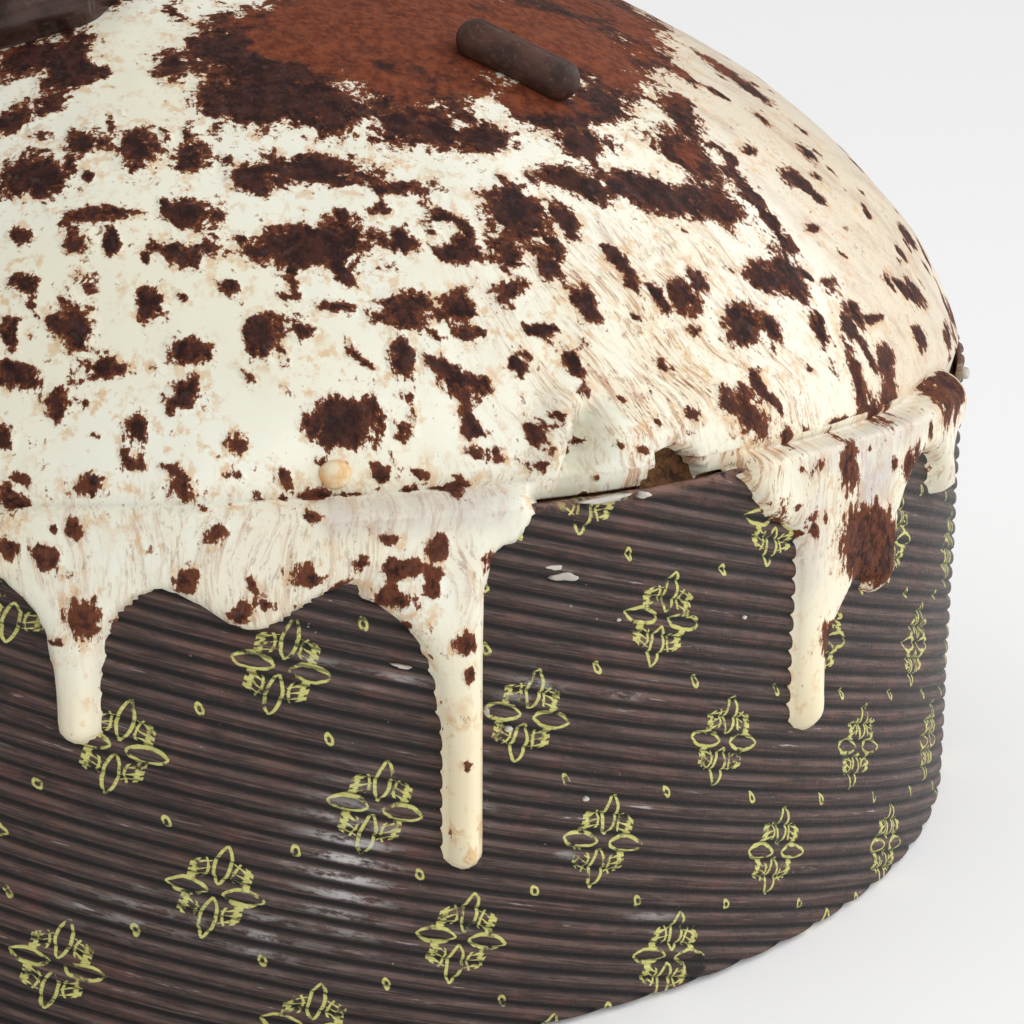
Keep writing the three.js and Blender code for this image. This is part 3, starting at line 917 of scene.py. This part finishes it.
# Soft blobs, 0.5 at their edge
def cocoaField(angle, level):
    patches = [(*patch[:5], patch[5] + (0.12 if patch[1] > 8 else 0.02)) for patch in cocoaPatches]
    patches += [(a, c, wide * 1.15, tall * 1.1, 0, 1.05) for a, c, wide, tall in smallPatches]
    rng = np.random.default_rng(7)
    pick = rng.uniform
    for _ in range(1300):
        at = pick(-180, 180)
        climb = math.degrees(math.asin(pick(0, 0.98)))
        if -16 < at < 48:
            size = pick(0.35, 0.8)
        else:
            size = rng.choice([0.7, 1.1, 1.6, 2.3, 3.4], p=[0.36, 0.28, 0.2, 0.11, 0.05])
        wide = size * 0.62 / max(math.cos(math.radians(climb)), 0.2) * pick(0.7, 1.4)
        tall = size * (1.5 if climb < 22 else 0.9) * pick(0.6, 1.1)
        patches.append((at, climb, wide, tall, pick(-30, 30), pick(0.85, 1.05)))
    for _ in range(110):      # more small ones over the front
        at, climb, size = pick(-34, 27), pick(6, 47), pick(0.4, 0.8)
        wide, tall = size * pick(0.8, 1.4), size * pick(0.7, 1.6)
        patches.append((at, climb, wide, tall, pick(-40, 40), pick(0.85, 1)))
    for _ in range(420):      # and on the overhang
        at, depth, wide, tall = pick(-180, 180), pick(0, 13), pick(0.2, 0.75), pick(0.4, 1.5)
        patches.append((at, -depth, wide, tall, pick(-20, 20), pick(0.75, 1)))
    # the crown is buried in cocoa
    crownEdge = 63
    for size, waves, shift in ((6, 3, 40), (2.5, 7, 0), (2.5, 13, 80), (2, 22, 10)):
        crownEdge = crownEdge + size * np.sin(np.radians(waves * angle + shift))
    cocoa = np.where(level > 0, 1.25 * smoothStep(-7, 7, level - crownEdge), 0)
    for at, climb, wide, tall, tilt, strength in patches:
        du = wrap(angle - at)
        dv = level - climb
        near = (np.abs(du) < 3.2 * max(wide, tall)) & (np.abs(dv) < 3.2 * max(wide, tall))
        if not near.any():
            continue
        x, y = du[near], dv[near]
        c, s = math.cos(math.radians(tilt)), math.sin(math.radians(tilt))
        x, y = x * c + y * s, y * c - x * s
        bell = strength * np.exp(-0.69 * ((x / wide) ** 2 + (y / tall) ** 2))
        cocoa[near] = np.maximum(cocoa[near], bell)
    return cocoa


# Cocoa, flow streaks, tan dust and dry powder as one colour attribute, see-through icing and painted shade
# as another, flow as a UV map
def paintCocoa(piece, angle, level):
    cocoa = cocoaField(angle, level)
    streak = plateau(angle, 30, 12) * smoothStep(40, 22, level) * smoothStep(-14, 0, level)
    streak = np.maximum(streak, 0.45 * smoothStep(12, 2, level) * smoothStep(-20, -8, level))
    streak = np.maximum(streak, 0.8 * plateau(angle, 150, 24) * smoothStep(50, 25, level))
    dust = smoothStep(45, 53, angle) * smoothStep(100, 80, angle)
    dust = dust * smoothStep(62, 50, level) * smoothStep(-3, 6, level)
    farDust = smoothStep(-150, -135, angle) * smoothStep(-95, -110, angle) * smoothStep(58, 45, level)
    dust = np.maximum(dust, 0.9 * farDust)
    dry = smoothStep(34, 47, level)
    front = smoothStep(-24, -14, angle) * smoothStep(60, 50, angle)
    dry = dry * (1 - front * (1 - smoothStep(2, 14, angle + 1.3 * (level - 50))))
    dry = np.maximum(dry, 0.9 * plateau(angle, 43.5, 4) * smoothStep(26, 34, level))
    dry = np.maximum(dry, 0.34 * plateau(angle, 45, 5) * smoothStep(-6, -8, level))
    paintPoints(piece, "cocoa", [cocoa, streak, dust, dry])

    # icing so fine that the case shows through, painted shade just below the crease and on the ledge at the
    # right, and the grey of the hollow, also painted shade
    # painted shade below the crease, under the lip of the dome
    atCrease = smoothStep(4, 6, angle) * smoothStep(17, 15, angle)
    atCrease = atCrease * smoothStep(-2.5, 0, level) * smoothStep(5, 3, level)
    thinAndShade = np.maximum(plateau(angle, 45.6, 2.2) * plateau(level, -5, 3.6), 0.6 * atCrease)
    # painted shade on the tops of the ledge in the group at the right
    thinAndShade = np.maximum(thinAndShade, 0.55 * plateau(angle, 45, 7.5) * plateau(level, -0.6, 2.2))
    thinAndShade = np.maximum(thinAndShade, 0.5 * np.exp(-((angle - 39) / 1.3) ** 2) * plateau(level, -10, 7))
    low = np.clip(level, 0, 90)
    # painted shade: grey-green shading inside the hollow of the fold
    past = angle - foldLine(low)
    hollow = smoothStep(-0.2, 0.5, past) * smoothStep(5, 1, past) * smoothStep(15.5, 12.5, low) * (level > 0)
    paintPoints(piece, "shade", [thinAndShade, hollow, 0 * thinAndShade, 1 + 0 * thinAndShade])

    # unrolled and drawn sideways, so that lines along the map run the way the icing slid
    corner, firstCorner = faceCorners(piece.data)
    first = angle[firstCorner]
    turn = first + wrap(angle[corner] - first)
    up = np.where(level > 0, level * 1.39, level)[corner]
    slid = (np.maximum(level - 10, 0) * smoothStep(6, 24, angle) * smoothStep(80, 60, angle))[corner]
    addMap(piece, "flow", (turn + 0.32 * slid) * arcPerDegree, up)


def icingMaterial():
    material, w, shader = newMaterial("icingWithCocoa")
    place = w.place()
    flow = w.add("ShaderNodeUVMap", uv_map="flow")
    cocoa, streak, dust, dry = w.paint("cocoa")
    # see-through icing with painted shade, and painted shade in the hollow
    thinAndShadeMask, hollow, _, _ = w.paint("shade")
    height = w.split("ShaderNodeSeparateXYZ", place)[2]

    drawn = w.ramp(height, 0.066, 0.088, 1, 0)      # low on the flank the cocoa is drawn out downwards
    clumps = w.noise(place, 300, 5, 0.74, 0.5)
    pulled = w.noise(w.scaled(flow, (52, 14, 1)), 1, 5, 0.74)
    ragged = clumps * (1 - drawn) + pulled * drawn
    fine = w.noise(place, 1700, 2, 0.7)
    torn = w.noise(w.scaled(place, (1, 1, 0.75)), 950, 3, 0.7)
    level = cocoa + (ragged - 0.5) * 1.62 + (torn - 0.5) * 0.82 + (fine - 0.5) * 0.3
    solid = w.ramp(level, 0.5, 0.59)
    halo = w.ramp(level, 0.36, 0.6)
    # flow lines drawn out down the slope: a soft wash, lines in it and short broken dashes
    swirl = w.noise(w.scaled(flow, (7, 7, 1)), 1, 1, 0.5, output="Color")
    push = w.add("ShaderNodeVectorMath", {0: swirl, "Scale": 6}, operation="SCALE")
    bent = w.add("ShaderNodeVectorMath", {0: w.scaled(flow, (100, 100, 1)), 1: push}, operation="ADD")
    lines = w.noise(w.scaled(bent, (1.5, 0.1, 1)), 1, 4, 0.72)
    wash = w.noise(w.scaled(bent, (0.26, 0.05, 1)), 1, 3, 0.6)
    broken = w.noise(w.scaled(bent, (2.2, 0.5, 1)), 1, 3, 0.75)
    washed = w.ramp(wash, 0.38, 0.58) * streak
    streaks = w.ramp(lines, 0.5, 0.61) * (w.ramp(wash, 0.38, 0.54, 0.12, 1) * streak)
    dashes = w.ramp(broken, 0.55, 0.62) * (w.ramp(wash, 0.42, 0.56, 0.12, 1) * streak)
    drift = w.noise(place, 110, 3, 0.65)
    near = w.ramp(cocoa + drift * 0.5, 0.28, 0.5)
    group = w.ramp(drift, 0.42, 0.6, 0.05, 1)
    sprayed = w.ramp(height, 0.112, 0.08, 0.3, 1.25) * group
    small = w.noise(w.scaled(place, (1, 1, 0.7)), 850, 3, 0.65)
    middling = w.noise(w.scaled(place, (1, 1, 0.7)), 520, 3, 0.7)
    spread = w.most(near, sprayed)
    specks = w.ramp(small, 0.635, 0.7) * spread
    mist = w.ramp(middling, 0.5, 0.65) * spread
    cloud = w.ramp(w.noise(w.scaled(flow, (14, 6, 1)), 1, 5, 0.7), 0.46, 0.7) * dust
    grain = w.ramp(fine, 0.57, 0.7) * dust

    tone = w.ramp(w.noise(place, 45, 1), 0.35, 0.65)
    ivory = w.mix(tone, srgb(0.945, 0.94, 0.875), srgb(0.935, 0.92, 0.835))
    ivory = w.mix(w.ramp(height, 0.056, 0.03, 0, 0.85), ivory, srgb(0.955, 0.89, 0.735))
    thinAndShade = thinAndShadeMask * w.ramp(clumps, 0.3, 0.6, 0.5, 1)
    colour = w.layers(ivory, [
        (dust * 0.7, (0.875, 0.8, 0.69)),
        (cloud * 0.5, (0.66, 0.49, 0.38)),
        (halo * 0.36, (0.8, 0.58, 0.38)),
        (washed * 0.3, (0.87, 0.7, 0.45)),
        (streaks * 0.7, (0.67, 0.42, 0.21)),
        (dashes * 0.8, (0.48, 0.26, 0.155)),
        (grain * 0.3, (0.56, 0.4, 0.31)),
        (mist * 0.5, (0.84, 0.64, 0.38)),
        (specks * 0.85, (0.55, 0.31, 0.16)),
        # grey-lilac: icing that the case shows through, and painted shade below the crease and on the ledge
        (thinAndShade * 0.75, (0.71, 0.67, 0.68)),
        # painted shade inside the hollow of the fold
        (hollow * 0.8, (0.78, 0.77, 0.68)),
    ])
    powder = w.mix(w.ramp(small, 0.32, 0.68), srgb(0.37, 0.17, 0.105), srgb(0.51, 0.265, 0.16))
    damp = w.mix(w.ramp(middling, 0.4, 0.63), srgb(0.16, 0.085, 0.075), srgb(0.275, 0.15, 0.12))
    damp = w.mix(w.ramp(small, 0.54, 0.72, 0, 0.45), damp, srgb(0.33, 0.27, 0.265))
    heaped = cocoa * 0.22 + dry * 0.5
    inner = w.ramp(heaped + w.noise(w.scaled(place, (1, 1.4, 1.4)), 95, 5, 0.72), 1.09, 1.23)
    rust = w.ramp(level, 0.55, 0.8, 0.8, 0)
    smeared = w.ramp(height, 0.074, 0.06, 0, 0.55) * w.ramp(torn, 0.4, 0.62)
    brown = w.mix(rust, w.mix(inner, damp, powder), srgb(0.49, 0.265, 0.145))
    brown = w.mix(smeared, brown, srgb(0.5, 0.29, 0.19))
    waves = w.noise(place, 160, 1, 0.5)
    rough = w.ramp(waves, 0.3, 0.7, 0.3, 0.42) + solid * 0.42
    heap = w.ramp(cocoa, 0.35, 0.75) * (0.5 + w.noise(place, 900, 2, 0.75))
    normal = w.bump(heap, 0.55, 0.0004, w.bump(waves, 0.12, 0.0012))
    w.dress(shader, {
        "Base Color": w.mix(solid, colour, brown), "Roughness": rough, "Specular IOR Level": 0.2,
        "Coat Weight": (1 - solid) * 0.3, "Coat Roughness": 0.28, "Normal": normal,
    })
    return material


buildIcing(icingMaterial())
print("icing ready")


# Small drops of icing on the rim and wall, and the caramel drop
# angle, depth under the rim, half length along, half height, thickness, slope in degrees
icingDrops = [
    (22.5, 0.35, 3.3, 0.36, 0.45, 1), (25.2, 0.5, 1, 0.42, 0.45, -4), (19.9, 8.4, 1.9, 0.5, 0.25, -8),
    (19.2, 7.2, 1.1, 0.3, 0.2, -8), (33.5, 17.5, 0.35, 0.25, 0.25, 0), (16.3, 24.8, 0.5, 0.3, 0.3, 10),
    (21.5, 34.4, 0.45, 0.28, 0.25, 0), (9.8, 16.6, 1.2, 0.22, 0.25, -16), (14.9, 22.5, 0.35, 0.5, 0.35, 0),
    (23.6, 14.2, 0.3, 0.2, 0.2, 0), (70.5, 1, 1.6, 0.8, 0.8, 0), (168, 9, 1.5, 0.5, 0.5, -10),
    (205, 14, 1.8, 0.5, 0.4, -14), (251, 22, 1.2, 0.4, 0.4, -14), (292, 12, 1.4, 0.5, 0.4, -14),
]


# Points and faces of one flattened drop, made along X, its back just under the plane z = 0
def flatDrop(longSide, shortSide, thickness, seedValue):
    around, rings = 22, 6
    uneven = 0.16 * min(1, longSide / shortSide - 1)      # a round drop stays round
    points = [(0, 0, thickness)]
    for r in range(1, rings + 1):
        share = r / rings
        for k in range(around):
            t = 2 * math.pi * k / around
            wobble = 1 + uneven * math.sin(3 * t + seedValue) + uneven / 2 * math.sin(5 * t + 2 * seedValue)
            points.append((longSide * share * math.cos(t) * wobble, shortSide * share * math.sin(t) * wobble,
                           thickness * math.sqrt(max(0, 1 - share ** 2.4)) - (0.5 if r == rings else 0)))
    points.append((0, 0, -0.5))
    faces = [(0, 1 + k, 1 + (k + 1) % around) for k in range(around)]
    for r in range(rings - 1):
        for k in range(around):
            n = (k + 1) % around
            a, b = 1 + r * around, 1 + (r + 1) * around
            faces.append((a + k, b + k, b + n, a + n))
    last = len(points) - 1
    a = 1 + (rings - 1) * around
    faces += [(last, a + (k + 1) % around, a + k) for k in range(around)]
    return points, faces


# Place on the outside of the case: X along the wall, Z outwards
def wallMatrix(angle, depth, slope):
    a = math.radians(angle)
    outward = Vector((math.sin(a), -math.cos(a), 0))
    along = Vector((math.cos(a), math.sin(a), 0))
    frameHere = Matrix((along, Vector((0, 0, 1)), outward)).transposed().to_4x4()
    foot = outward * (panettone["caseRadius"] - 0.05)
    foot.z = panettone["caseHeight"] + float(rimWave(angle)) - depth
    return Matrix.Translation(foot) @ frameHere @ Matrix.Rotation(math.radians(slope), 4, "Z")


def joinedDrops(name, places, material):
    points, faces = [], []
    for number, (place, shape) in enumerate(places):
        some, sides = flatDrop(*shape, number * 1.7)
        start = len(points)
        points += [tuple(place @ Vector(p)) for p in some]
        faces += [tuple(start + i for i in f) for f in sides]
    return makePiece(name, points, faces, material)


def glazeMaterial(name, low, high, rough):
    material, w, shader = newMaterial(name)
    place = w.place()
    colour = w.mix(w.ramp(w.noise(place, 400, 4), 0.3, 0.7), srgb(*low), srgb(*high))
    normal = w.bump(w.noise(place, 700, 3), 0.15, 0.0003)
    w.dress(shader, {"Base Color": colour, "Roughness": rough, "Normal": normal})
    return material


wiped = glazeMaterial("wipedIcing", (0.66, 0.63, 0.6), (0.8, 0.78, 0.73), 0.35)
wallDrops = [(wallMatrix(at, depth, slope), size) for at, depth, *size, slope in icingDrops]
joinedDrops("icingDrops", wallDrops, wiped)


# Place on the dome: X along the parallel, Z out of the surface
def domeMatrix(angle, climb, sink):
    a = math.radians(angle)
    r, z = domePoint(angle, climb / 90)
    r2, z2 = domePoint(angle, climb / 90 + 0.01)
    up = Vector((math.sin(a) * (r2 - r), -math.cos(a) * (r2 - r), float(z2 - z))).normalized()
    along = Vector((math.cos(a), math.sin(a), 0))
    normal = along.cross(up)
    foot = Vector((math.sin(a) * float(r), -math.cos(a) * float(r), float(z))) - normal * sink
    return Matrix.Translation(foot) @ Matrix((along, up, normal)).transposed().to_4x4()


caramel = glazeMaterial("caramelGlaze", (0.86, 0.64, 0.33), (0.94, 0.9, 0.78), 0.25)
domeDrops = [(domeMatrix(6.2, 8, 0.3), (1.9, 1.7, 1.5)), (domeMatrix(-161, 12, 0), (1.4, 1.1, 0.8))]
joinedDrops("caramelDrop", domeDrops, caramel)


# Cake crumb, seen through the gap at the rim
def crumbMaterial():
    material, w, shader = newMaterial("bakedCrumb")
    place = w.place()
    crumb = w.noise(place, 700, 6, 0.7)
    colour = w.mix(w.ramp(crumb, 0.35, 0.65), srgb(0.22, 0.13, 0.08), srgb(0.55, 0.37, 0.2))
    w.dress(shader, {"Base Color": colour, "Roughness": 0.8, "Normal": w.bump(crumb, 0.9, 0.0012)})
    return material


crumb = crumbMaterial()
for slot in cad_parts["cake"].material_slots:
    slot.material = crumb


# Chocolate logs and curls
def chocolateMaterial(name, low, high, dusty, rough):
    material, w, shader = newMaterial(name)
    place = w.place()
    colour = w.mix(w.ramp(w.noise(place, 250, 4), 0.3, 0.7), srgb(*low), srgb(*high))
    bloom = w.ramp(w.noise(place, 1300, 5, 0.75), 0.52, 0.72)
    colour = w.mix(bloom * dusty, colour, srgb(0.52, 0.375, 0.3))
    rough = w.ramp(w.noise(place, 600, 4), 0.3, 0.7, rough, rough + 0.15)
    normal = w.bump(w.noise(place, 900, 4), 0.2, 0.0003)
    w.dress(shader, {"Base Color": colour, "Roughness": rough, "Specular IOR Level": 0.32, "Normal": normal})
    return material


def heightOnDome(angle, reach):
    climb = math.acos(reach / panettone["domeRadius"]) * 2 / math.pi
    return float(domePoint(angle, climb)[1])


# Place for a piece made along X at the origin, lying on the dome, in millimetres
def layMatrix(place, lift):
    at, reach = place["at"], place["reach"]
    slope = math.atan2(heightOnDome(at, reach - 4) - heightOnDome(at, reach + 4), 8)
    outward = Vector((math.sin(math.radians(at)), -math.cos(math.radians(at)), 0))
    normal = outward * math.sin(slope) + Vector((0, 0, math.cos(slope)))
    along = Vector((math.cos(math.radians(place["turn"])), math.sin(math.radians(place["turn"])), 0))
    along = (along - normal * along.dot(normal)).normalized()
    across = normal.cross(along)
    foot = outward * reach + Vector((0, 0, heightOnDome(at, reach))) + normal * lift
    return Matrix.Translation(foot) @ Matrix((along, across, normal)).transposed().to_4x4()


logValues = {"radius": 2.45, "length": 15.7, "groove": 0.9, "places": [
    {"node": "chocolate_log_1", "at": 30.7, "reach": 68.1, "turn": -27},
    {"node": "chocolate_log_2", "at": 158, "reach": 58, "turn": 34},
    {"node": "chocolate_log_3", "at": 262, "reach": 62, "turn": 71},
]}
logChocolate = chocolateMaterial("logChocolate", (0.2, 0.125, 0.1), (0.335, 0.215, 0.17), 0.45, 0.46)
for number, place in enumerate(logValues["places"], 1):
    deselectAll()
    bpy.ops.mesh.primitive_uv_sphere_add(segments=40, ring_count=24, radius=logValues["radius"] * mm)
    log = bpy.context.object
    log.name = "chocolateLog%d" % number
    half = logValues["length"] / 2 - logValues["radius"]
    co = np.array([v.co[:] for v in log.data.vertices]) / mm
    co[:, 2] += np.where(co[:, 2] > 0.02, half, np.where(co[:, 2] < -0.02, -half, 0))
    pointsOn = np.stack([co[:, 2], co[:, 1], co[:, 0]], -1)
    lumps = 1 + 0.03 * field(pointsOn, 3, 10 + number, 2)
    pointsOn[:, 1:] *= lumps[:, None]
    # thin seam along one side, blunt ends
    side = np.degrees(np.arctan2(pointsOn[:, 2], pointsOn[:, 1]))
    seam = np.exp(-((side - 72) / 8) ** 2) * smoothStep(half + 2, half, np.abs(pointsOn[:, 0]))
    pointsOn[:, 1:] *= (1 - logValues["groove"] * seam / logValues["radius"])[:, None]
    lay = layMatrix(place, logValues["radius"] - 0.5)
    for v, p in zip(log.data.vertices, pointsOn):
        v.co = (lay @ Vector(p)) * mm
    outwardNormals(log)
    bpy.ops.object.shade_smooth()
    log.data.materials.append(logChocolate)
    finishPiece(log)
    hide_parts(place["node"])

curlValues = {"halfWidth": 7.5, "height": 8, "length": 31, "pleats": 4, "places": [
    {"node": "chocolate_curl_1", "at": -26.4, "reach": 56.2, "turn": 4},
    {"node": "chocolate_curl_2", "at": 95, "reach": 22, "turn": 52},
]}
curlChocolate = chocolateMaterial("curlChocolate", (0.15, 0.095, 0.08), (0.3, 0.22, 0.195), 0.15, 0.14)


# A rolled strip of chocolate with a pleated back
def buildCurl(number, place):
    around, lengthwise = 120, 70
    points = []
    for j in range(lengthwise + 1):
        end = 2 * j / lengthwise - 1
        pinch = 1 - 0.2 * min(1, abs(end)) ** 3
        for k in range(around):
            t = 2 * math.pi * k / around
            arch = max(0, math.sin(t))
            phase = (curlValues["pleats"] * t / math.pi) % 1
            fold = math.sqrt(max(0, 1 - (2 * phase - 1) ** 4)) - 0.55      # round back, sharp crease
            ridge = 1 + 0.34 * fold * smoothStep(0, 1, arch * 3) + 0.006 * math.sin(26 * t + 3 * end)
            y = curlValues["halfWidth"] * math.cos(t) * ridge * pinch + 1.2 * math.sin(2 * end)
            z = (curlValues["height"] * ridge if math.sin(t) > 0 else 1.2) * math.sin(t) * pinch
            stepped = 3.5 * smoothStep(0, 1, -1.5 * math.cos(t)) * max(0, end) ** 2      # the right end
            x = end * curlValues["length"] / 2 - stepped + 0.8 * math.sin(3 * t + 2 * end) * abs(end) ** 4
            points.append((x, y, z))
    lay = layMatrix(place, 0.4)
    co = [tuple(lay @ Vector(p)) for p in points]
    faces = []
    for j in range(lengthwise):
        for k in range(around):
            a, b = j * around + k, j * around + (k + 1) % around
            faces.append((a + around, b + around, b, a))
    faces.append(tuple(range(around)))
    faces.append(tuple(lengthwise * around + k for k in reversed(range(around))))
    piece = makePiece("chocolateCurl%d" % number, co, faces, curlChocolate)
    outwardNormals(piece)
    bpy.ops.object.shade_smooth_by_angle(angle=math.radians(40))
    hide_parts(place["node"])


for number, place in enumerate(curlValues["places"], 1):
    buildCurl(number, place)
print("chocolate ready")
